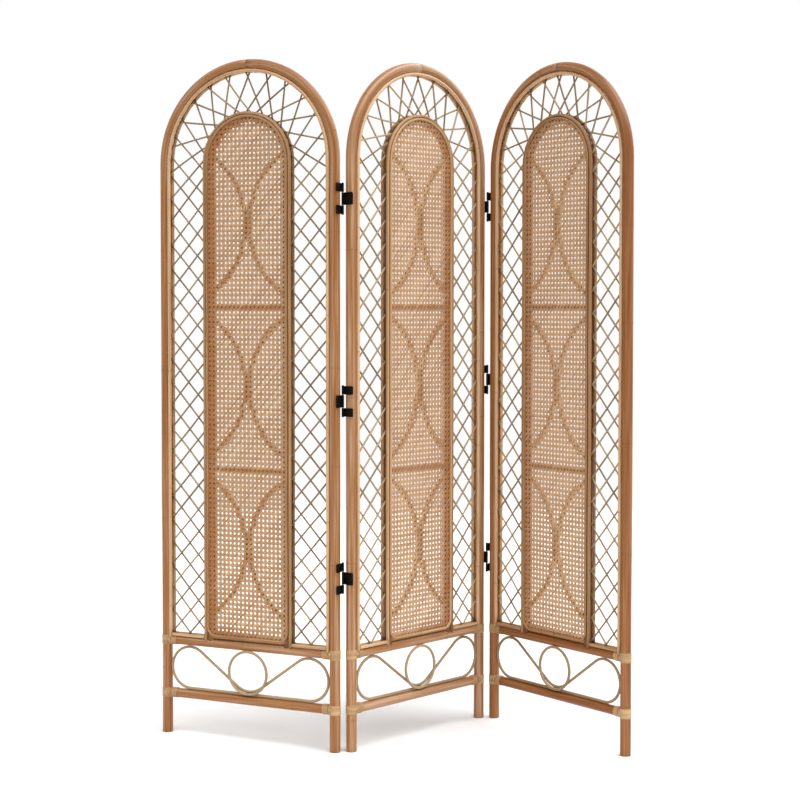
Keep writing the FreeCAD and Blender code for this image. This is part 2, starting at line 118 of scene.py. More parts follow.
def sweep(path, section, scale=None, loop=False):
    # a section carried along a path in the panel's plane: each ring is the path's point plus
    # section x times the in-plane normal plus section y times the way to the rear, both times scale;
    # a loop is a path whose last point is its first, where the two ends butt
    count, sides = len(path), len(section)
    scale = np.ones(count) if scale is None else scale
    ahead = np.vstack([path[1:], path[1:2] if loop else path[-1:]])
    behind = np.vstack([path[-2:-1] if loop else path[:1], path[:-1]])
    tangent = ahead - behind
    tangent /= np.linalg.norm(tangent, axis=1)[:, None]
    normal = np.stack([-tangent[:, 2], np.zeros(count), tangent[:, 0]], 1)
    rear = np.array([0.0, 1.0, 0.0])
    offset = section[None, :, :1] * normal[:, None, :] + section[None, :, 1:] * rear
    points = path[:, None, :] + offset * scale[:, None, None]
    co = np.zeros((count, sides, 3))
    co[..., 1:] = section[None] * scale[:, None, None]
    return ringGrid(points, co)


def ringGrid(points, co, closedAlong=False):
    # a grid of points (along, round) that closes on itself round, and along too if asked
    count, sides = points.shape[:2]
    return {"points": points.reshape(-1, 3), "co": co.reshape(-1, 3), "grid": (count, sides),
            "closedAlong": closedAlong, "gap": np.full(count * sides, caneShape["ringReach"]),
            "tone": np.full(count * sides, caneShape["tone"])}


def roundSection(sides, radius=1.0):
    turn = 2 * np.pi * np.arange(sides) / sides
    return radius * np.stack([np.cos(turn), np.sin(turn)], 1)


def gridFaces(shape):
    # quads between neighbouring rings, and one flat lid on each open end
    count, sides = shape["grid"]
    rows = np.arange(count if shape["closedAlong"] else count - 1)
    i, j = np.meshgrid(rows, np.arange(sides), indexing="ij")
    nextRow, nextSide = (i + 1) % count, (j + 1) % sides
    quads = np.stack([i * sides + j, nextRow * sides + j, nextRow * sides + nextSide,
                      i * sides + nextSide], -1)
    lids = [] if shape["closedAlong"] else [np.arange(sides), (count - 1) * sides + np.arange(sides)[::-1]]
    return quads.reshape(-1, 4), lids


def signedVolume(points, quads, lids):
    # a sixth of the sum of triple products over a fan of triangles
    a, b, c, d = (points[quads[:, k]] for k in range(4))
    total = (a * (np.cross(b, c) + np.cross(c, d))).sum()
    for lid in lids:
        fan = points[lid]
        total += (fan[0] * np.cross(fan[1:-1], fan[2:])).sum()
    return total / 6


def makePiece(name, shapes, panel, node, material):
    # joins the shapes, turns their faces outwards and stands them up in the room
    loops, sizes, smooth = [], [], []
    first = 0
    for shape in shapes:
        quads, lids = gridFaces(shape)
        if signedVolume(shape["points"], quads, lids) < 0:
            quads = quads[:, ::-1]
            lids = [lid[::-1] for lid in lids]
        loops += [quads.ravel() + first] + [lid + first for lid in lids]
        sizes += [np.full(len(quads), 4)] + [np.array([len(lid)]) for lid in lids]
        smooth += [np.ones(len(quads), bool)] + [np.zeros(len(lids), bool)]
        first += len(shape["points"])
    points = standUp(np.vstack([shape["points"] for shape in shapes]), panel)
    loops, sizes, smooth = (np.concatenate(part) for part in (loops, sizes, smooth))
    mesh = bpy.data.meshes.new(name)
    mesh.vertices.add(len(points))
    mesh.vertices.foreach_set("co", points.astype(np.float32).ravel())
    mesh.loops.add(len(loops))
    mesh.loops.foreach_set("vertex_index", loops.astype(np.int32))
    mesh.polygons.add(len(sizes))
    mesh.polygons.foreach_set("loop_start", np.concatenate([[0], np.cumsum(sizes)[:-1]]).astype(np.int32))
    mesh.polygons.foreach_set("use_smooth", smooth)
    mesh.update(calc_edges=True)
    for label, kind, key, source in (("caneCo", "FLOAT_VECTOR", "vector", "co"),
                                     ("nodeGap", "FLOAT", "value", "gap"),
                                     ("tone", "FLOAT", "value", "tone")):
        values = np.concatenate([shape[source] for shape in shapes]).astype(np.float32).ravel()
        mesh.attributes.new(label, kind, "POINT").data.foreach_set(key, values)
    mesh.materials.append(material)
    piece = addObject(name, mesh)
    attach(piece, panel + "_panel")
    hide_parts(panel + "_panel_" + node)


# materials: each reads caneCo (length along the cane, then across it), nodeGap and tone from its piece; the
# tone also carries painted shade on the webbing and a painted highlight at the crowns
def colourNode(tree, kind, **settings):
    node = tree.nodes.new(kind)
    for key, value in settings.items():
        setattr(node, key, value)
    return node


def startFinish(name, gloss):
    material = bpy.data.materials.new(name)
    material.use_nodes = True
    shader = material.node_tree.nodes["Principled BSDF"]
    shader.inputs["Specular IOR Level"].default_value = gloss
    return material, material.node_tree, shader


def addNoise(tree, vector, scale, detail):
    noise = colourNode(tree, "ShaderNodeTexNoise")
    noise.inputs["Scale"].default_value = scale
    noise.inputs["Detail"].default_value = detail
    tree.links.new(vector, noise.inputs["Vector"])
    return noise.outputs["Fac"]


def addRamp(tree, source, places, colours):
    ramp = colourNode(tree, "ShaderNodeValToRGB")
    stops = ramp.color_ramp.elements
    for place in places[1:-1]:
        stops.new(place)
    for stop, place, colour in zip(stops, places, colours):
        stop.position, stop.color = place, (*colour, 1.0)
    tree.links.new(source, ramp.inputs["Fac"])
    return ramp.outputs["Color"]


def addRelief(tree, shader, look, height):
    bump = colourNode(tree, "ShaderNodeBump")
    bump.inputs["Strength"].default_value = look["bump"]
    bump.inputs["Distance"].default_value = look["bumpDepth"]
    tree.links.new(height, bump.inputs["Height"])
    tree.links.new(bump.outputs["Normal"], shader.inputs["Normal"])


def remap(tree, source, start, end, **settings):
    # carries the range start over to the range end
    node = colourNode(tree, "ShaderNodeMapRange", **settings)
    for socket, value in zip(("From Min", "From Max", "To Min", "To Max"), (*start, *end)):
        node.inputs[socket].default_value = value
    tree.links.new(source, node.inputs["Value"])
    return node.outputs["Result"]


def caneFinish(name, look):
    # streaks along the cane and its tone choose the colour, and growth rings darken and dent it
    material, tree, shader = startFinish(name, look["gloss"])
    link = tree.links.new
    co, gap, tone = (colourNode(tree, "ShaderNodeAttribute", attribute_name=label)
                     for label in ("caneCo", "nodeGap", "tone"))

    def streaks(along, across, detail):
        stretch = colourNode(tree, "ShaderNodeVectorMath", operation="MULTIPLY")
        stretch.inputs[1].default_value = (along, across, across)
        link(co.outputs["Vector"], stretch.inputs[0])
        return addNoise(tree, stretch.outputs[0], 1.0, detail)

    def sums(first, firstShare, second, secondShare):
        scaled = colourNode(tree, "ShaderNodeMath", operation="MULTIPLY")
        scaled.inputs[1].default_value = firstShare
        link(first, scaled.inputs[0])
        added = colourNode(tree, "ShaderNodeMath", operation="MULTIPLY_ADD")
        added.inputs[1].default_value = secondShare
        link(second, added.inputs[0])
        link(scaled.outputs[0], added.inputs[2])
        return added.outputs[0]

    fine = streaks(look["grainAlong"], look["grainAcross"], look["fineDetail"])
    broad = streaks(look["patchAlong"], look["patchAcross"], look["broadDetail"])
    grain = sums(fine, look["fineShare"], broad, look["broadShare"])
    mixed = sums(grain, 1.0, tone.outputs["Fac"], look["toneShare"])
    colour = addRamp(tree, mixed, look["stops"], (look["dark"], look["mid"], look["light"]))

    ring = remap(tree, gap.outputs["Fac"], (0.0, look["nodeWidth"]), (look["nodeShare"], 0.0),
                 interpolation_type="SMOOTHSTEP")
    ringed = colourNode(tree, "ShaderNodeMix", data_type="RGBA")
    ringed.inputs["B"].default_value = (*look["node"], 1.0)
    link(ring, ringed.inputs["Factor"])
    link(colour, ringed.inputs["A"])
    link(ringed.outputs["Result"], shader.inputs["Base Color"])

    link(remap(tree, broad, look["sheenRange"], look["roughness"]), shader.inputs["Roughness"])
    addRelief(tree, shader, look, sums(fine, 1.0, ring, look["ringRelief"]))
    return material


def blackIron(name, look):
    # powder coat: fine speckle in the colour, the sheen and the relief
    material, tree, shader = startFinish(name, look["gloss"])
    link = tree.links.new
    place = colourNode(tree, "ShaderNodeTexCoord")
    speckle = addNoise(tree, place.outputs["Object"], look["speckle"], look["detail"])
    link(addRamp(tree, speckle, look["stops"], (look["dark"], look["light"])), shader.inputs["Base Color"])
    link(remap(tree, speckle, look["sheenRange"], look["roughness"]), shader.inputs["Roughness"])
    addRelief(tree, shader, look, speckle)
    return material


poleLook = {
    "dark": (0.210, 0.066, 0.016), "mid": (0.330, 0.138, 0.042), "light": (0.535, 0.352, 0.228),
    "node": (0.150, 0.060, 0.020), "stops": (0.42, 0.64, 0.86),
    "fineShare": 0.40, "broadShare": 0.55, "toneShare": 0.36, "grainAlong": 7.0, "grainAcross": 360.0,
    "patchAlong": 3.0, "patchAcross": 110.0, "fineDetail": 3.0, "broadDetail": 2.0,
    "nodeWidth": 0.0030, "nodeShare": 0.34, "ringRelief": -0.6, "gloss": 0.32, "sheenRange": (0.3, 0.7),
    "roughness": (0.26, 0.42), "bump": 0.25, "bumpDepth": 0.0004,
}
# the inner frame's poles are darker than the outer poles: painted shade for the frame that stands in shade
# behind the webbing
shadedFrameLook = dict(poleLook, dark=(0.125, 0.040, 0.010), mid=(0.215, 0.086, 0.026), light=(0.330, 0.155, 0.058))
barLook = dict(poleLook, dark=(0.200, 0.072, 0.020), mid=(0.330, 0.145, 0.048), light=(0.470, 0.240, 0.100))
# the braces are paler and more golden than the frame's other canes: painted light for the light that comes
# through the webbing onto them
litBraceLook = dict(poleLook, dark=(0.360, 0.195, 0.060), mid=(0.490, 0.290, 0.104), light=(0.620, 0.410, 0.178))
liningLook = dict(
    poleLook, dark=(0.320, 0.165, 0.072), mid=(0.550, 0.330, 0.165), light=(0.760, 0.520, 0.320),
    node=(0.220, 0.110, 0.045), stops=(0.40, 0.64, 0.88), toneShare=0.36, grainAlong=12.0, nodeShare=0.40,
    roughness=(0.40, 0.58))
edgingLook = dict(
    liningLook, dark=(0.240, 0.115, 0.044), mid=(0.400, 0.220, 0.098), light=(0.570, 0.355, 0.195))
latticeLook = dict(
    liningLook, dark=(0.130, 0.082, 0.040), mid=(0.230, 0.150, 0.078), light=(0.460, 0.335, 0.205),
    toneShare=0.30, stops=(0.30, 0.55, 0.85), grainAcross=900.0)
scrollLook = dict(
    latticeLook, dark=(0.180, 0.115, 0.055), mid=(0.310, 0.210, 0.112), light=(0.450, 0.320, 0.185))
bindingLook = dict(
    liningLook, dark=(0.270, 0.142, 0.058), mid=(0.430, 0.255, 0.120), light=(0.580, 0.385, 0.205),
    stops=(0.34, 0.56, 0.78), toneShare=0.18, grainAlong=40.0, grainAcross=900.0, nodeShare=0.0)
webbingLook = dict(
    liningLook, dark=(0.390, 0.160, 0.054), mid=(0.472, 0.275, 0.142), light=(0.652, 0.420, 0.248),
    stops=(0.30, 0.60, 0.86), toneShare=0.45, grainAlong=25.0, grainAcross=1500.0, nodeShare=0.0, gloss=0.3,
    roughness=(0.5, 0.68))
ironLook = {"dark": (0.001, 0.001, 0.001), "light": (0.005, 0.0046, 0.0045), "gloss": 0.10,
            "stops": (0.35, 0.7), "speckle": 1400.0, "detail": 4.0, "sheenRange": (0.3, 0.7),
            "roughness": (0.32, 0.5), "bump": 0.12, "bumpDepth": 0.0002}

finishes = {
    "pole": caneFinish("honeyPole", poleLook),
    "frame": caneFinish("innerFramePole", shadedFrameLook),
    "bar": caneFinish("frameBar", barLook),
    "brace": caneFinish("goldenBrace", litBraceLook),
    "lining": caneFinish("paleLining", liningLook),
    "edging": caneFinish("brownEdging", edgingLook),
    "lattice": caneFinish("latticeCane", latticeLook),
    "scroll": caneFinish("scrollCane", scrollLook),
    "binding": caneFinish("bindingPeel", bindingLook),
    "webbing": caneFinish("wovenCane", webbingLook),
    "hinge": blackIron("blackIron", ironLook),
}
print("materials made:", len(finishes))


def caneStations(length, step, ringGap, draw):
    # stations along a cane at an even spacing, with more round its growth rings
    c = caneShape
    rings = []
    place = draw.uniform(*c["firstRing"]) * ringGap
    while place < length - c["endRoom"]:
        rings.append(place)
        place += ringGap * draw.uniform(*c["ringSpread"])
    rings = np.array(rings)
    even = np.linspace(0.0, length, max(2, int(round(length / step)) + 1))
    stations = np.concatenate([even, (rings[:, None] + np.array(c["nearRing"])).ravel()])
    stations = np.unique(np.round(np.clip(stations, 0.0, length), 6))
    stations[-1] = length
    return stations, rings


def dressCane(shape, stations, rings, draw, tone=None):
    # gap is the distance along the cane to its nearest growth ring; tone is one value or one for each station
    count, sides = shape["grid"]
    if len(rings):
        away = np.abs(stations[:, None] - rings[None]).min(1)
        shape["gap"] = np.repeat(np.minimum(away, caneShape["ringReach"]), sides)
    shape["co"][:, 0] = np.repeat(stations, sides) + draw.uniform(0.0, caneShape["grainStart"])
    shape["co"][:, 1:] += draw.uniform(0.0, caneShape["acrossStart"], 2)
    tone = draw.uniform() if tone is None else tone
    shape["tone"] = np.repeat(np.broadcast_to(tone, count), sides)
    return shape


def cane(path, sides, scale, stations, rings, draw, tone=None):
    # a round cane along a path, with a radius for each station
    return dressCane(sweep(path, roundSection(sides), scale), stations, rings, draw, tone)


def lengths(line):
    # how far along a line each of its points stands
    return np.concatenate([[0.0], np.cumsum(np.linalg.norm(np.diff(line, axis=0), axis=1))])


def loopCane(path, section, draw, tone=None):
    # a cane along a path that closes, without growth rings
    return dressCane(sweep(path, section, loop=True), lengths(path), noRings, draw, tone)


def ownTone(shape, draw):
    return draw.uniform(-shape["toneSpread"], shape["toneSpread"])


def swollen(stations, rings, radius, swell, wander, draw):
    # radius times one plus a bell at each growth ring plus a slow wave
    c = caneShape
    scale = 1.0 + wander * np.sin(stations * draw.uniform(*c["waveRate"]) + draw.uniform(0.0, c["wavePhase"]))
    if len(rings):
        scale = scale + swell * np.exp(-((stations[:, None] - rings[None]) / c["ringBell"]) ** 2).sum(1)
    return radius * scale


def flatPath(x, depth, z):
    # points of a line that keeps one depth
    path = np.zeros((len(x), 3))
    path[:, 0], path[:, 1], path[:, 2] = x, depth, z
    return path


def leg(longest, other):
    # the third side of a right triangle
    return np.sqrt(np.maximum(longest ** 2 - other ** 2, 0.0))


def archPath(half, foot, stations, depth):
    # up the left side, round a half circle about the spring line, and down the right side
    rise = screen["spring"] - foot
    turn = np.clip((stations - rise) / half, 0.0, np.pi)
    down = np.maximum(stations - rise - np.pi * half, 0.0)
    x = -half * np.cos(turn)
    z = np.minimum(foot + stations, screen["spring"]) + half * np.sin(turn) - down
    return flatPath(x, depth, z)


def archLength(half, foot):
    return 2 * (screen["spring"] - foot) + np.pi * half


def arcPath(centre, radius, first, last, count):
    turn = np.radians(np.linspace(first, last, count))
    return np.stack([centre[0] + radius * np.cos(turn), centre[1] + radius * np.sin(turn)], 1)


def copeSides(shape, centre, radius):
    # both end rings of a level bar follow the round of the posts they butt against:
    # along = centre minus the root of radius squared less depth squared
    count, sides = shape["grid"]
    grid = shape["points"].reshape(count, sides, 3)
    inset = leg(radius, grid[:, :, 1])
    grid[0, :, 0] = -centre + inset[0]
    grid[-1, :, 0] = centre - inset[-1]
    return shape


def copeFeet(shape, height, radius, least, ends=(0, -1)):
    # end rings that stand on a rail follow its round in the same way, and go no lower than least
    count, sides = shape["grid"]
    grid = shape["points"].reshape(count, sides, 3)
    for end in ends:
        grid[end, :, 2] = np.maximum(height + leg(radius, grid[end, :, 1]), least)
    return shape


def clearEnds(stations, room, both=True):
    # leaves out stations nearer than room to the first end, or to both, so that no ring crosses a coped one
    keep = (stations <= 0.0) | (stations > room)
    if both:
        keep &= (stations >= stations[-1]) | (stations < stations[-1] - room)
    return stations[keep]


# outer poles: post and half arch in one, chamfered at the foot
poleShape = {"sides": 28, "step": 0.02, "ringGap": 0.33, "swell": 0.014, "wander": 0.006, "chamfer": 0.0015,
             "tones": {"left": (0.40, 0.48), "middle": (0.56, 0.60), "right": (0.34, 0.14)},
             # crown values make the tone paler near the crown: a painted highlight where light from above
             # falls on the top
             "crownHighlights": {"left": 0.0, "middle": 0.16, "right": 0.24}, "highlightReach": 0.30}


def poleHalf(side, tone, crownHighlight, draw):
    # the arch's path by length from the foot; towards the crown the tone rises by the crown value times (1 -
    # distance to crown / reach), a painted highlight where light from above falls on the top
    s = poleShape
    length = archLength(screen["halfWidth"], 0.0) / 2
    stations, rings = caneStations(length, s["step"], s["ringGap"], draw)
    stations = np.unique(np.concatenate([stations, [s["chamfer"]]]))
    path = archPath(screen["halfWidth"], 0.0, stations, 0.0)
    path[:, 0] *= -side
    scale = swollen(stations, rings, screen["poleRadius"], s["swell"], s["wander"], draw)
    scale[0] -= s["chamfer"]
    crownGlare = crownHighlight * np.maximum(1.0 - (length - stations) / s["highlightReach"], 0.0)
    return cane(path, s["sides"], scale, stations, rings, draw, tone + crownGlare)


# rails: straight poles coped to the posts
railShape = {"sides": 24, "step": 0.02, "ringGap": 0.24, "swell": 0.012, "wander": 0.006, "endRoom": 0.016,
             "toneSpread": 0.12, "tones": {"left": 0.42, "middle": 0.72, "right": 0.10}}


def railBetweenPosts(height, tone, draw):
    # a level line from one post's axis to the other's, coped to both
    half = screen["halfWidth"]
    stations, rings = caneStations(2 * half, railShape["step"], railShape["ringGap"], draw)
    stations = clearEnds(stations, railShape["endRoom"])
    path = flatPath(stations - half, 0.0, height)
    scale = swollen(stations, rings, screen["railRadius"], railShape["swell"], railShape["wander"], draw)
    tone = tone + ownTone(railShape, draw)
    shape = cane(path, railShape["sides"], scale, stations, rings, draw, tone)
    return copeSides(shape, half, screen["poleRadius"])


# bindings: flat peel strapped round the post and wound on along the rail
bindingShape = {
    "strips": 3, "strapHeight": 0.025, "strapThickness": 0.001, "strapEnd": 0.016, "wrapThickness": 0.0015,
    "windingStart": 0.01655, "stripWidth": 0.0046, "pitch": 0.00515, "turns": 3, "perTurn": 48, "crown": 0.45,
    "facets": 7, "strapCrown": 0.7, "strapSink": 0.0008, "strapTuck": 0.06, "strapSteps": 61,
    "sink": 0.0004, "saddleTaper": 0.0003, "saddleLap": 0.0005, "toneRange": (0.2, 0.8), "toneSpread": 0.15,
}
wrapRadius = screen["railRadius"] + bindingShape["wrapThickness"]


def postStrap(height, draw):
    # crowned strips side by side round the post, from one flank of the rail to the other:
    # distance from the post's axis = radius + thickness * (1 - crown * (place across the strip)^2)
    b = bindingShape
    across = np.linspace(-1.0, 1.0, b["facets"])
    width = b["strapHeight"] / b["strips"]
    centres = (np.arange(b["strips"]) - (b["strips"] - 1) / 2) * width
    z = (centres[:, None] + across[None] * width * 0.5).ravel()
    rise = np.tile(1.0 - across ** 2 * b["strapCrown"], b["strips"]) * b["strapThickness"]
    z = np.concatenate([z[:1], z, z[-1:]])
    away = screen["poleRadius"] + np.concatenate([[-b["strapSink"]], rise, [-b["strapSink"]]])
    flank = leg(wrapRadius, z)
    reach = screen["poleRadius"] + b["strapThickness"]
    start = np.arcsin(np.clip(flank / reach, 0.0, 1.0)) - b["strapTuck"]
    share = np.linspace(0.0, 1.0, b["strapSteps"])
    angle = start[None] + share[:, None] * (2 * np.pi - 2 * start[None])
    points = np.stack([away * np.cos(angle) - screen["halfWidth"], away * np.sin(angle),
                       np.broadcast_to(height + z, angle.shape)], -1)
    grain = angle * screen["poleRadius"] + draw.uniform(0.0, caneShape["grainStart"])
    co = np.stack(np.broadcast_arrays(grain, z, away), -1)
    return ringGrid(points, co)


def railSaddle(height, draw):
    # a short sleeve on the rail whose outer end is coped to the post and whose inner end is square
    b = bindingShape
    turn = 2 * np.pi * np.arange(b["perTurn"]) / b["perTurn"]
    inside = screen["railRadius"] - b["sink"]
    away = np.array([inside, wrapRadius, wrapRadius - b["saddleTaper"], inside])
    depth = -away[None] * np.sin(turn[:, None])
    coped = leg(screen["poleRadius"], depth) - b["saddleLap"]
    along = np.where(np.array([True, True, False, False])[None], coped, b["strapEnd"])
    points = np.stack([along - screen["halfWidth"], depth, height - away[None] * np.cos(turn[:, None])], -1)
    grain = turn[:, None] * wrapRadius + draw.uniform(0.0, caneShape["grainStart"])
    co = np.stack(np.broadcast_arrays(grain, along, away), -1)
    return ringGrid(points, co, closedAlong=True)


def railWinding(height, draw):
    # one flat strip in turns round the rail: along = start + pitch * (whole half turns + eased share) / 2,
    # where the share eases by half of one less the cosine, and the strip's face is crowned
    b = bindingShape
    turns = np.linspace(0.0, b["turns"], b["turns"] * b["perTurn"] + 1)
    whole = np.floor(2 * turns)
    along = b["windingStart"] + b["pitch"] * (whole + (1 - np.cos(np.pi * (2 * turns - whole))) / 2) / 2
    across = np.linspace(-1.0, 1.0, b["facets"])
    offset = np.concatenate([[0.0], (across + 1) / 2, [1.0]]) * b["stripWidth"]
    rise = np.concatenate([[-b["sink"]], b["wrapThickness"] * (1 - b["crown"] * across ** 2), [-b["sink"]]])
    away = screen["railRadius"] + rise
    angle = 2 * np.pi * turns[:, None]
    points = np.stack([along[:, None] + offset[None] - screen["halfWidth"],
                       -away[None] * np.sin(angle), height - away[None] * np.cos(angle)], -1)
    grain = angle * screen["railRadius"] + draw.uniform(0.0, caneShape["grainStart"])
    co = np.stack(np.broadcast_arrays(grain, offset, away), -1)
    return ringGrid(points, co)


def mirrored(shape):
    return dict(shape, points=shape["points"] * np.array([-1.0, 1.0, 1.0]))


def jointBindings(draw):
    b = bindingShape
    shapes = []
    for height in (screen["upperRail"], screen["lowerRail"]):
        for flip in (False, True):
            tone = draw.uniform(*b["toneRange"])
            for make in (postStrap, railSaddle, railWinding):
                shape = make(height, draw)
                shape["tone"] = np.full(len(shape["points"]), tone + ownTone(b, draw))
                shapes.append(mirrored(shape) if flip else shape)
    return shapes


# scroll: one bent rod in a closed line, and a ring before its dip
scrollShape = {"radius": 0.00375, "sides": 14, "forward": 0.002, "dipRadius": 0.060, "ringRadius": 0.0565,
               "ringSteps": 72, "runSteps": 24, "overSteps": 44, "slantSteps": 14, "dipSteps": 16}


def scrollLine():
    # left half: run, round by the post, slant tangent to both arcs, dip; then the same mirrored
    s = scrollShape
    onRail = leg(screen["railRadius"] + s["radius"] + screen["seat"], s["forward"])
    onPost = leg(screen["poleRadius"] + s["radius"] + screen["seat"], s["forward"])
    low, high = screen["lowerRail"] + onRail, screen["upperRail"] - onRail
    radius = (high - low) / 2
    end = np.array([onPost + radius - screen["halfWidth"], low + radius])
    dip = np.array([0.0, low + 2 * s["radius"] + screen["seat"] + s["dipRadius"]])
    reach = dip - end
    tangent = math.asin((radius + s["dipRadius"]) / np.hypot(*reach))
    slope = math.degrees(tangent - math.atan2(reach[1], reach[0]))
    run = np.stack([np.linspace(0.0, end[0], s["runSteps"]), np.full(s["runSteps"], low)], 1)
    over = arcPath(end, radius, 270.0, 90.0 - slope, s["overSteps"])
    under = arcPath(dip, s["dipRadius"], 270.0 - slope, 270.0, s["dipSteps"])
    slant = over[-1] + (under[0] - over[-1]) * np.linspace(0.0, 1.0, s["slantSteps"])[1:-1, None]
    half = np.vstack([run[:-1], over, slant, under])
    other = half[::-1][1:] * np.array([-1.0, 1.0])
    line = np.vstack([half, other])
    return flatPath(line[:, 0], -s["forward"], line[:, 1])


def scrollRod(draw):
    return loopCane(scrollLine(), roundSection(scrollShape["sides"], scrollShape["radius"]), draw)


def scrollRing(draw):
    # a circle before the dip that touches the upper rail, its ends butted at the bottom
    s = scrollShape
    depth = s["forward"] + 2 * s["radius"] + screen["seat"]
    off = leg(screen["railRadius"] + s["radius"] + screen["seat"], depth)
    circle = arcPath((0.0, screen["upperRail"] - off - s["ringRadius"]), s["ringRadius"], -90.0, 270.0,
                     s["ringSteps"] + 1)
    path = flatPath(circle[:, 0], -depth, circle[:, 1])
    return loopCane(path, roundSection(s["sides"], s["radius"]), draw)


# linings: an arched cane before and one behind the lattice on each side, and short ones along the rail
liningShape = {"sides": 14, "step": 0.03, "ringGap": 0.28, "swell": 0.02, "wander": 0.012, "endRoom": 0.02,
               "baseRings": 9, "toneSpread": 0.1,
               "tones": {"left": (0.50, 0.50), "middle": (0.78, 0.78), "right": (0.55, 0.55)},
               "innerTones": {"left": (0.60, 0.15), "middle": (0.95, 0.10), "right": (0.40, 0.05)},
               "beadTones": {"left": 0.20, "middle": 0.90, "right": 0.20},
               "baseTones": {"left": 0.30, "middle": 0.45, "right": 0.0}}


def archedLining(half, seat, tones, draw):
    # the arch's path before and behind the lattice; the tone runs evenly from one foot to the other
    s = liningShape
    shapes = []
    foot = screen["liningFoot"]
    for depth in (-screen["liningDepth"], screen["liningDepth"]):
        stations, rings = caneStations(archLength(half, foot), s["step"], s["ringGap"], draw)
        stations = clearEnds(stations, s["endRoom"])
        path = archPath(half, foot, stations, depth)
        scale = swollen(stations, rings, screen["liningRadius"], s["swell"], s["wander"], draw)
        tone = np.linspace(*tones, len(stations)) + ownTone(s, draw)
        shape = cane(path, s["sides"], scale, stations, rings, draw, tone)
        shapes.append(copeFeet(shape, screen["upperRail"], seat, foot))
    return shapes


def baseLinings(tone, draw):
    # short canes along the upper rail, from the outer linings to the inner ones
    s = liningShape
    shapes = []
    gap = wrapRadius + screen["liningRadius"] + screen["seat"]
    height = screen["upperRail"] + leg(gap, screen["liningDepth"])
    outer = screen["outerLiningHalf"] - screen["liningRadius"]
    inner = screen["innerLiningHalf"] + screen["liningRadius"]
    for depth in (-screen["liningDepth"], screen["liningDepth"]):
        for side in (-1.0, 1.0):
            stations = np.linspace(0.0, outer - inner, s["baseRings"])
            path = flatPath(side * (inner + stations), depth, height)
            scale = swollen(stations, noRings, screen["liningRadius"], 0.0, s["wander"], draw)
            own = tone + ownTone(s, draw)
            shapes.append(cane(path, s["sides"], scale, stations, noRings, draw, own))
    return shapes


# lattice: straight canes in two layers that cross, fanning out over the arch
latticeShape = {
    "radius": 0.0024, "sides": 8, "rings": 9, "depth": 0.00245,
    "firstNode": 0.051, "step": 0.0614, "fanSteps": 12,
    "straightRunOn": 0.5, "fanOuterRunOn": 0.1, "fanInnerRunOn": 0.39, "blend": 3.0, "endRoom": 0.002,
    "shortest": 0.016, "pastFoot": 2, "bow": 0.0011, "slide": 0.0012, "waver": 0.04, "waverRate": (3.0, 9.0),
    "toneSpread": 0.5, "tones": {"left": 0.50, "middle": 0.95, "right": 0.75},
}


def latticeEnds():
    # end points of one layer's canes, counted in steps up the left edge, over the arch and down the right
    s = latticeShape
    first = screen["upperRail"] + s["firstNode"]
    straight = round((screen["spring"] - first) / s["step"])
    pitch = (screen["spring"] - first) / straight
    total = 2 * straight + s["fanSteps"]
    floor = screen["upperRail"] + screen["railRadius"] + bindingShape["wrapThickness"] + s["endRoom"]

    def edgePoint(step, half):
        side = np.where(step > total / 2, 1.0, -1.0)
        step = np.where(step > total / 2, total - step, step)
        turn = np.pi * np.maximum(step - straight, 0.0) / s["fanSteps"]
        rise = first + np.minimum(step, straight) * pitch
        return np.stack([side * half * np.cos(turn), rise + half * np.sin(turn)], 1)

    def runOn(node, fanValue):
        share = np.clip((np.minimum(node, total - node) - straight + 1) / s["blend"], 0.0, 1.0)
        return s["straightRunOn"] + (fanValue - s["straightRunOn"]) * share

    node = np.arange(-s["pastFoot"], total + s["pastFoot"]).astype(float)
    outer = edgePoint(node - runOn(node, s["fanOuterRunOn"]),
                      screen["halfWidth"] - screen["poleRadius"] - s["endRoom"])
    inner = edgePoint(node + 1 + runOn(node + 1, s["fanInnerRunOn"]),
                      screen["frameHalf"] + screen["frameRadius"] + s["endRoom"])
    swap = inner[:, 1] < outer[:, 1]
    low = np.where(swap[:, None], inner, outer)
    high = np.where(swap[:, None], outer, inner)
    climb = high[:, 1] - low[:, 1]
    share = np.clip((floor - low[:, 1]) / np.where(climb == 0.0, 1.0, climb), 0.0, 1.0)
    low = low + share[:, None] * (high - low)
    keep = (high[:, 1] > floor) & (np.linalg.norm(high - low, axis=1) >= s["shortest"])
    return low[keep], high[keep]


def latticeLayer(side, tone, draw):
    # each cane is its chord plus a slight bow across it, a half sine from end to end
    s = latticeShape
    shapes = []
    share = np.linspace(0.0, 1.0, s["rings"])
    for low, high in zip(*latticeEnds()):
        run = high - low
        across = np.array([-run[1], run[0]]) / np.hypot(*run)
        slide = draw.normal(0.0, s["slide"])
        bow = draw.normal(0.0, s["bow"]) * np.sin(np.pi * share)
        line = low + share[:, None] * run + (slide + bow)[:, None] * across
        path = flatPath(side * line[:, 0], -side * s["depth"], line[:, 1])
        wave = np.sin(share * draw.uniform(*s["waverRate"]) + draw.uniform(0.0, caneShape["wavePhase"]))
        scale = s["radius"] * (1.0 + s["waver"] * wave)
        own = tone + ownTone(s, draw)
        shapes.append(cane(path, s["sides"], scale, share * np.hypot(*run), noRings, draw, own))
    return shapes


# inner frame: limbs with half arches, bars and bowed braces
frameShape = {"sides": 20, "step": 0.025, "ringGap": 0.3, "swell": 0.014, "wander": 0.006,
              "footShare": 0.5, "footRoom": 0.02,
              "lowBar": 0.722, "highBar": 1.150, "barRadius": 0.007, "barStep": 0.02, "barRingGap": 0.2,
              "barRoom": 0.012, "braceRadius": 0.006, "braceSetBack": 0.001, "braceStep": 0.012,
              "braceRingGap": 0.2, "braceSides": 14,
              "aboveSill": 0.055, "belowBar": 0.023, "aboveBar": 0.035, "aboveSpring": 0.0225}


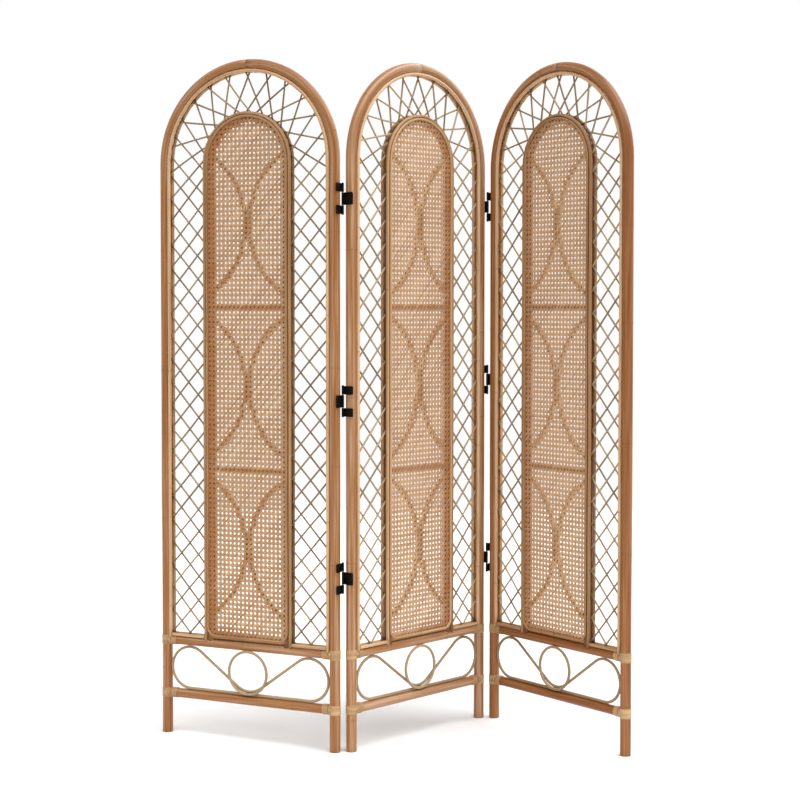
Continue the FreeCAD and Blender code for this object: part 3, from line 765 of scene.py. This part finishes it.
def frameHalfArch(side, draw):
    # half of the arch's path by length from its foot, which is coped to the upper rail
    f = frameShape
    foot = screen["upperRail"] + screen["railRadius"] * f["footShare"]
    length = archLength(screen["frameHalf"], foot) / 2
    stations, rings = caneStations(length, f["step"], f["ringGap"], draw)
    stations = clearEnds(stations, f["footRoom"], both=False)
    path = archPath(screen["frameHalf"], foot, stations, 0.0)
    path[:, 0] *= -side
    scale = swollen(stations, rings, screen["frameRadius"], f["swell"], f["wander"], draw)
    shape = cane(path, f["sides"], scale, stations, rings, draw)
    return copeFeet(shape, screen["upperRail"], screen["railRadius"], foot, ends=(0,))


def crossBars(draw):
    # level lines from limb to limb, set so that all fronts lie in one plane
    f = frameShape
    half = screen["frameHalf"]
    shapes = []
    for height, radius in ((screen["sill"], screen["frameRadius"]), (f["lowBar"], f["barRadius"]),
                           (f["highBar"], f["barRadius"])):
        stations, rings = caneStations(2 * half, f["barStep"], f["barRingGap"], draw)
        stations = clearEnds(stations, f["barRoom"])
        path = flatPath(stations - half, radius - screen["frameRadius"], height)
        scale = swollen(stations, rings, radius, f["swell"], f["wander"], draw)
        shape = cane(path, f["sides"], scale, stations, rings, draw)
        shapes.append(copeSides(shape, half, screen["frameRadius"]))
    return shapes


def braceBays():
    # low and high end of the braces in each bay between sill, bars and crown
    f = frameShape
    return ((screen["sill"] + f["aboveSill"], f["lowBar"] - f["belowBar"]),
            (f["lowBar"] + f["aboveBar"], f["highBar"] - f["belowBar"]),
            (f["highBar"] + f["aboveBar"], screen["spring"] + f["aboveSpring"]))


def braceArc(low, high):
    # radius and half angle of a brace's arc, from its bay's half height and the bow
    bow = screen["frameHalf"] - frameShape["braceRadius"] - screen["seat"]
    chord = (high - low) / 2
    radius = (chord ** 2 + bow ** 2) / (2 * bow)
    return radius, math.asin(chord / radius)


def bowedBraces(draw):
    # in each bay two arcs stand back to back
    f = frameShape
    shapes = []
    for low, high in braceBays():
        radius, spread = braceArc(low, high)
        for side in (-1.0, 1.0):
            stations, rings = caneStations(2 * spread * radius, f["braceStep"], f["braceRingGap"], draw)
            turn = stations / radius - spread
            path = flatPath(side * (f["braceRadius"] + screen["seat"] + radius * (1 - np.cos(turn))),
                            f["braceRadius"] + f["braceSetBack"] - screen["frameRadius"],
                            (low + high) / 2 + radius * np.sin(turn))
            scale = swollen(stations, rings, f["braceRadius"], f["swell"], f["wander"], draw)
            shapes.append(cane(path, f["braceSides"], scale, stations, rings, draw))
    return shapes


# webbing: pairs of upright and level strips woven over and under, with diagonals before and behind
webbingShape = {
    "pitch": 0.01235, "rise": 0.01300, "pairGap": 0.00185, "width": 0.0037, "diagonalWidth": 0.0036,
    "thickness": 0.00042, "lift": 0.00022, "diagonalLift": 0.00058, "edge": 0.0060, "corner": 0.020,
    "footRise": 0.003, "sheetThickness": 0.0016, "beadWidth": 0.007, "beadHeight": 0.0035,
    "beadOffset": 0.004, "beadPoints": 9,
    "footPoints": 8, "cornerPoints": 10, "limbPoints": 26, "archPoints": 26,
    "columns": 12, "overrun": 0.02, "halfReach": 0.15, "fewestCrossings": 3, "lineSamples": 1600,
    "fewestSamples": 12, "diagonalStep": 0.012, "diagonalRoom": 4,
    # painted shade on the strips over the bars and braces, and how far it reaches and fades beside the poles
    # and sill
    "barShade": 0.60, "braceShade": 0.42, "shadeReach": 0.007, "shadeFade": 0.008, "toneSpread": 0.3,
    # tone, then how much darker it is by the left limb and by the right one: painted shade where the pole
    # behind keeps light from coming through
    # the right panel's tone is lighter than the others: painted light for light that shines through the cane
    # from behind
    "shades": {"left": (0.42, 0.90, 0.10), "middle": (0.60, 0.10, 0.80), "right": (0.80, 0.78, 0.10)},
}


def webbingSizes(offset):
    # half width, height of the foot and corner radius of the webbing's outline moved out by offset
    w = webbingShape
    return screen["frameHalf"] + offset, screen["sill"] + w["footRise"] - offset, w["corner"] + offset


def webbingOutline(offset):
    # foot, rounded corner, limb, half circle and back down, as one closed line moved out by offset
    w = webbingShape
    half, foot, corner = webbingSizes(offset)
    along = np.linspace(0.0, corner - half, w["footPoints"])[:-1]
    limb = np.linspace(foot + corner, screen["spring"], w["limbPoints"])[1:-1]
    left = np.vstack([
        np.stack([along, np.full(len(along), foot)], 1),
        arcPath((corner - half, foot + corner), corner, 270.0, 180.0, w["cornerPoints"]),
        np.stack([np.full(len(limb), -half), limb], 1),
        arcPath((0.0, screen["spring"]), half, 180.0, 90.0, w["archPoints"])])
    return np.vstack([left, left[::-1][1:] * np.array([-1.0, 1.0])])


def insideOutline(x, z, offset):
    # inside the box, the rounded corners and the half circle
    half, foot, corner = webbingSizes(offset)
    dx = np.maximum(np.abs(x) - (half - corner), 0.0)
    dz = np.maximum(foot + corner - z, 0.0)
    low = np.where((dx > 0) & (dz > 0), dx ** 2 + dz ** 2 <= corner ** 2, (np.abs(x) <= half) & (z >= foot))
    top = np.where(z > screen["spring"], x ** 2 + (z - screen["spring"]) ** 2 <= half ** 2, True)
    return low & top


def shadeOverFrame(x, z, leftLimbShade, rightLimbShade):
    # painted shade: how much darker the cane is where the frame behind it keeps light from coming through, by
    # the poles and sill, fading out beside them, on bars, and on braces
    f, w = frameShape, webbingShape
    reach = screen["frameHalf"] - screen["frameRadius"]
    past = np.maximum(np.hypot(x, np.maximum(z - screen["spring"], 0.0)) - reach,
                      screen["sill"] + screen["frameRadius"] - z)
    pole = np.clip((past + w["shadeReach"] + w["shadeFade"]) / w["shadeFade"], 0.0, 1.0)
    pole *= np.interp(x, (-reach, reach), (leftLimbShade, rightLimbShade))
    bars = np.minimum(np.abs(z - f["lowBar"]), np.abs(z - f["highBar"])) < f["barRadius"]
    brace = np.zeros(len(x), bool)
    for low, high in braceBays():
        radius = braceArc(low, high)[0]
        away = np.hypot(np.abs(x) - f["braceRadius"] - screen["seat"] - radius, z - (low + high) / 2)
        brace = brace | ((np.abs(away - radius) < f["braceRadius"]) & (z > low) & (z < high))
    return np.maximum(pole, np.maximum(bars * w["barShade"], brace * w["braceShade"]))


def ribbon(line, across, depth, width, shade, draw):
    # a flat strip: four corners at half its width along across and half its thickness in depth
    w = webbingShape
    count = len(line)
    corners = np.array([[-1.0, -1.0], [1.0, -1.0], [1.0, 1.0], [-1.0, 1.0]]) * 0.5
    points = np.zeros((count, 4, 3))
    points[:, :, 0] = line[:, :1] + corners[None, :, 0] * width * across[0]
    points[:, :, 2] = line[:, 1:] + corners[None, :, 0] * width * across[1]
    points[:, :, 1] = depth[:, None] + corners[None, :, 1] * w["thickness"]
    co = np.zeros((count, 4, 3))
    co[..., 0] = lengths(line)[:, None] + draw.uniform(0.0, caneShape["grainStart"])
    co[..., 1] = corners[None, :, 0] * width + draw.uniform(0.0, caneShape["acrossStart"])
    shape = ringGrid(points, co)
    tone, leftLimbShade, rightLimbShade = shade
    # painted shade: the strip is darker where the frame behind it keeps light from coming through
    paintedShade = shadeOverFrame(line[:, 0], line[:, 1], leftLimbShade, rightLimbShade)
    shape["tone"] = np.repeat(tone + ownTone(w, draw) - paintedShade, len(corners))
    return shape


def clippedSpan(start, run, offset):
    # first and last inside point of a long line, from an even sampling of it
    share = np.linspace(0.0, 1.0, webbingShape["lineSamples"])
    line = start + share[:, None] * run
    held = np.where(insideOutline(line[:, 0], line[:, 1], offset))[0]
    return None if len(held) < webbingShape["fewestSamples"] else (line[held[0]], line[held[-1]])


def wovenCane(shade, draw):
    # upright strips, then level ones, each before and behind those that it crosses by turns, then diagonals
    w = webbingShape
    base = -screen["frameRadius"] - screen["seat"] - w["sheetThickness"] / 2
    low, high = screen["sill"], screen["spring"] + screen["frameHalf"]
    columns = (np.arange(-w["columns"], w["columns"] + 1) + 0.5) * w["pitch"]
    columns = columns[np.abs(columns) < screen["frameHalf"] + w["pitch"]]
    rows = low + w["footRise"] + w["rise"] * (np.arange(-1, int((high - low) / w["rise"]) + 2) + 0.5)
    pair = np.array([-1.0, 1.0]) * w["pairGap"]
    uprights, levels = (columns[:, None] + pair).ravel(), (rows[:, None] + pair).ravel()
    shapes = []
    ways = ((uprights, levels, 1.0, np.array([0.0, 1.0]), (low - w["overrun"], high + w["overrun"])),
            (levels, uprights, -1.0, np.array([1.0, 0.0]), (-w["halfReach"], w["halfReach"])))
    for places, crossings, first, run, (start, end) in ways:
        across = 1.0 - run
        for count, place in enumerate(places):
            line = place * across + crossings[:, None] * run
            held = np.where(insideOutline(line[:, 0], line[:, 1], w["edge"]))[0]
            if len(held) < w["fewestCrossings"]:
                continue
            span = clippedSpan(place * across + start * run, (end - start) * run, w["edge"])
            line = np.vstack([span[0], line[held], span[1]])
            side = np.concatenate([[0.0], np.where((held + count) % 2 == 0, first, -first), [0.0]])
            shapes.append(ribbon(line, across, base + side * w["lift"], w["width"], shade, draw))
    for lean, layer in ((1.0, -1.0), (-1.0, 1.0)):
        run = np.array([lean * w["pitch"], w["rise"]])
        across = np.array([-run[1], run[0]]) / np.hypot(*run)
        room = w["diagonalRoom"]
        steps = len(rows) + len(columns) + room
        for place in range(-steps, steps):
            start = np.array([columns[0] + (place + 0.5) * w["pitch"], rows[0]]) - room * run
            span = clippedSpan(start, run * (len(rows) + 2 * room), w["edge"])
            if span is None:
                continue
            count = max(2, int(np.linalg.norm(span[1] - span[0]) / w["diagonalStep"]) + 1)
            line = span[0] + np.linspace(0.0, 1.0, count)[:, None] * (span[1] - span[0])
            depth = np.full(count, base + layer * w["diagonalLift"])
            shapes.append(ribbon(line, across, depth, w["diagonalWidth"], shade, draw))
    return shapes


def webbingBead(tone, draw):
    # a half round cane over the webbing's edge
    w = webbingShape
    turn = np.linspace(np.pi, 2 * np.pi, w["beadPoints"])
    section = np.stack([w["beadWidth"] / 2 * np.cos(turn), w["beadHeight"] * np.sin(turn)], 1)
    outline = webbingOutline(w["beadOffset"])
    depth = -screen["frameRadius"] - 2 * screen["seat"] - w["sheetThickness"]
    path = flatPath(outline[:, 0], depth, outline[:, 1])
    return loopCane(path, section, draw, tone)


# the three panels
firstSeed = 410


def makePanel(panel, draw):
    def add(node, slotName, shapes, finish=None):
        # the piece is called after its node, and has its slot's finish unless another is given
        name = panel + "Panel" + node.title().replace("_", "")
        makePiece(name, shapes, panel, node, finishes[finish or slotName])

    sides = {"left": -1.0, "right": 1.0}
    crownHighlight = poleShape["crownHighlights"][panel]
    for (name, side), tone in zip(sides.items(), poleShape["tones"][panel]):
        add(name + "_pole", "pole", [poleHalf(side, tone, crownHighlight, draw)])
    railTone = railShape["tones"][panel]
    add("upper_rail", "pole", [railBetweenPosts(screen["upperRail"], railTone, draw)])
    add("lower_rail", "pole", [railBetweenPosts(screen["lowerRail"], railTone, draw)])
    add("bindings", "binding", jointBindings(draw))
    add("scroll_rod", "scroll", [scrollRod(draw)])
    add("scroll_ring", "scroll", [scrollRing(draw)])
    outer = archedLining(screen["outerLiningHalf"], wrapRadius, liningShape["tones"][panel], draw)
    outer += baseLinings(liningShape["baseTones"][panel], draw)
    add("outer_linings", "lining", outer)
    innerTones = liningShape["innerTones"][panel]
    inner = archedLining(screen["innerLiningHalf"], screen["railRadius"], innerTones, draw)
    add("inner_linings", "lining", inner, "edging")
    latticeTone = latticeShape["tones"][panel]
    add("lattice_rising", "lattice", latticeLayer(1.0, latticeTone, draw))
    add("lattice_falling", "lattice", latticeLayer(-1.0, latticeTone, draw))
    for name, side in sides.items():
        add(name + "_frame_pole", "frame", [frameHalfArch(side, draw)])
    add("cross_bars", "frame", crossBars(draw), "bar")
    add("curved_braces", "frame", bowedBraces(draw), "brace")
    add("cane_webbing", "webbing", wovenCane(webbingShape["shades"][panel], draw))
    add("webbing_bead", "lining", [webbingBead(liningShape["beadTones"][panel], draw)], "edging")
    print("panel made:", panel)


for count, panel in enumerate(panelFeet):
    makePanel(panel, np.random.default_rng(firstSeed + count))

# hinges keep their solids and get black iron
for name, node in frame["nodes"].items():
    if "hinge" in name:
        for place in node.material_slots:
            place.material = finishes["hinge"]
print("hinges finished")

# floor and light
studio = {"floorSize": 10.0, "floorColour": (0.94, 0.94, 0.94), "floorRoughness": 0.9, "floorGloss": 0.1,
          "sky": 1.0, "skyLight": 0.17,
          # to the right of the front and up in degrees, strength, and softness in degrees
          "lamps": (("keyLight", 60.0, 58.0, 3.05, 55.0), ("fillLight", -35.0, 52.0, 1.5, 55.0),
                    ("rimLight", 130.0, 30.0, 1.2, 60.0))}


def makeFloor():
    half = studio["floorSize"] / 2
    mesh = bpy.data.meshes.new("studioFloor")
    mesh.from_pydata([(-half, -half, 0.0), (half, -half, 0.0), (half, half, 0.0), (-half, half, 0.0)], [],
                     [(0, 1, 2, 3)])
    material, _, shader = startFinish("paleFloor", studio["floorGloss"])
    shader.inputs["Base Color"].default_value = (*studio["floorColour"], 1.0)
    shader.inputs["Roughness"].default_value = studio["floorRoughness"]
    mesh.materials.append(material)
    floor = addObject("studioFloor", mesh)


def makeLight():
    # a white surround that lights the screen less than it shows, two soft lamps before it and one behind
    world = bpy.data.worlds.new("studioSky")
    world.use_nodes = True
    tree = world.node_tree
    tree.nodes["Background"].inputs["Color"].default_value = (1.0, 1.0, 1.0, 1.0)
    path = colourNode(tree, "ShaderNodeLightPath")
    shown = colourNode(tree, "ShaderNodeMath", operation="MAXIMUM")
    for socket, kind in zip(shown.inputs, ("Is Camera Ray", "Is Glossy Ray")):
        tree.links.new(path.outputs[kind], socket)
    strength = remap(tree, shown.outputs[0], (0.0, 1.0), (studio["skyLight"], studio["sky"]))
    tree.links.new(strength, tree.nodes["Background"].inputs["Strength"])
    scene.world = world
    for name, toRight, height, power, softness in studio["lamps"]:
        data = bpy.data.lights.new(name, "SUN")
        data.energy = power
        data.angle = math.radians(softness)
        lamp = addObject(name, data)
        lamp.rotation_euler = (math.radians(90.0 - height), 0.0, math.radians(toRight))


makeFloor()
makeLight()
print("floor and light made")
